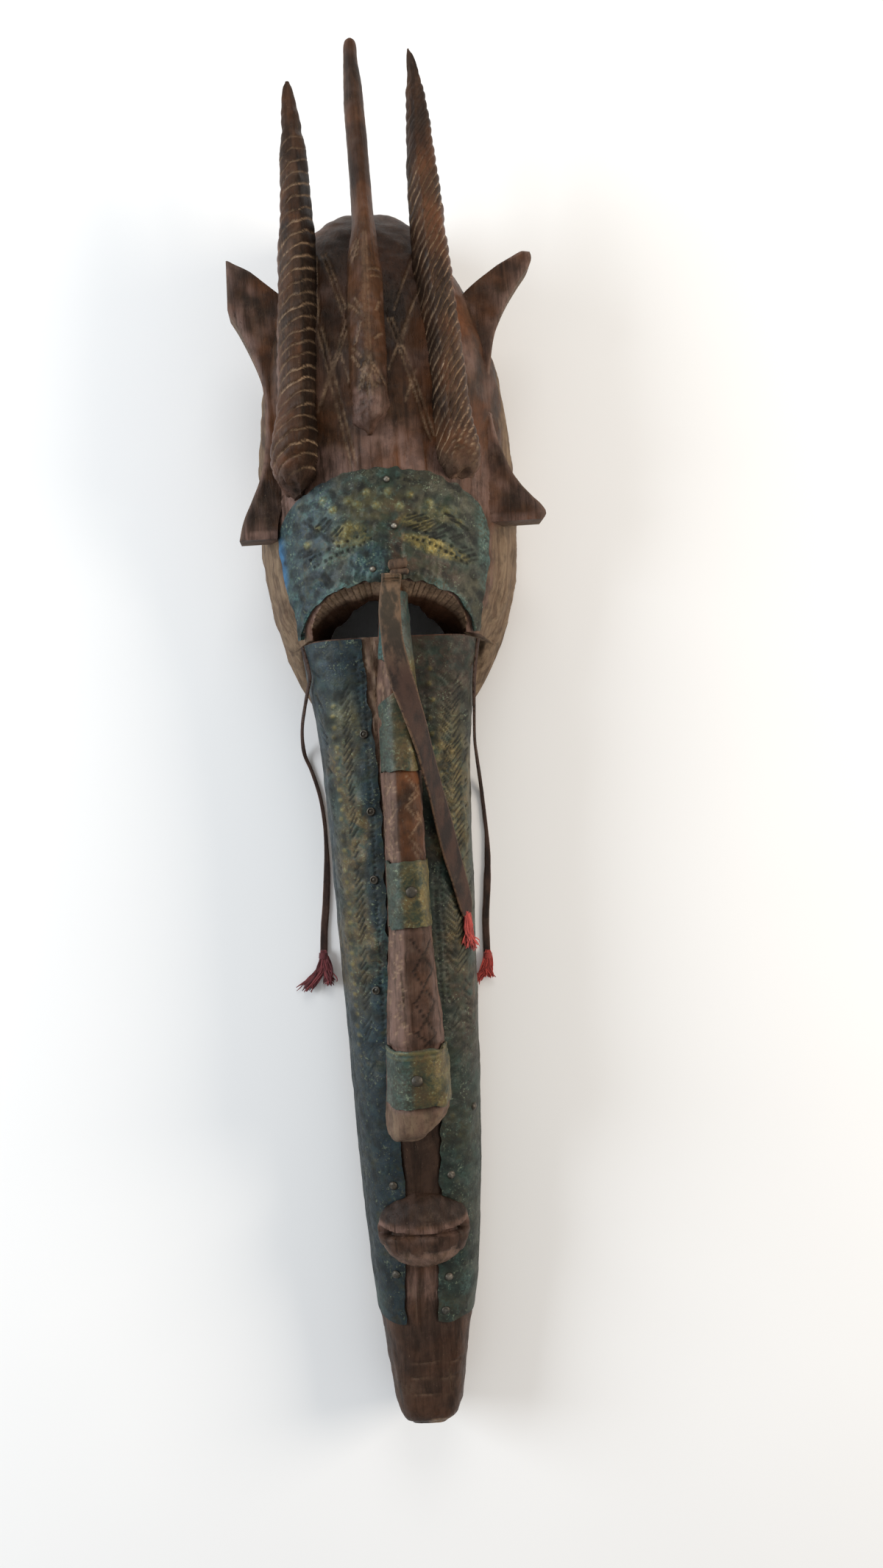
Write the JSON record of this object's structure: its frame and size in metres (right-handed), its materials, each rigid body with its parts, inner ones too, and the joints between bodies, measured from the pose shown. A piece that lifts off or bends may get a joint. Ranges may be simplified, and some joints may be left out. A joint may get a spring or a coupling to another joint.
{
  "type": "ntomo mask",
  "caption": "Tall ntomo style wooden mask with ridged horns, a crest, a long nose, embossed sheet metal on brow, cheeks and nose, and leather straps with cotton tassels.",
  "frame": {"origin": "below the middle of the outline seen from the front, on the plane of the rim and of the back of the long face", "axes": "+Y along the mask, from the chin to the horn tips; +X to the right side seen from the front; +Z out of the face. The mask lies on its back on z = 0"},
  "size_m": [0.1826, 0.806, 0.1111],
  "materials": {
    "carved_wood": "dark stained and worn outside, raw grey-brown inside",
    "sheet_metal": "embossed, blue-green patina with worn gold",
    "tack_metal": "tarnished",
    "strap_leather": "worn dark brown",
    "red_cotton": "loose strands",
    "maroon_cotton": "loose strands"
  },
  "bodies": {
    "root": {"carved_mask": "carved_wood", "brow_sheet": "sheet_metal", "left_cheek_sheet": "sheet_metal", "right_cheek_sheet": "sheet_metal", "nose_bridge_sheet": "sheet_metal", "nose_middle_band": "sheet_metal", "nose_tip_band": "sheet_metal", "brow_tack_1": "tack_metal", "brow_tack_2": "tack_metal", "brow_tack_3": "tack_metal", "cheek_tack_1": "tack_metal", "cheek_tack_2": "tack_metal", "cheek_tack_3": "tack_metal", "cheek_tack_4": "tack_metal", "cheek_tack_5": "tack_metal", "cheek_tack_6": "tack_metal", "cheek_tack_7": "tack_metal", "cheek_tack_8": "tack_metal", "cheek_tack_9": "tack_metal", "cheek_tack_10": "tack_metal", "nose_tack_1": "tack_metal", "nose_tack_2": "tack_metal", "left_strap": "strap_leather", "right_strap": "strap_leather", "nose_strap": "strap_leather", "left_tassel": "maroon_cotton", "right_tassel": "red_cotton", "nose_tassel": "red_cotton"}
  },
  "joints": []
}
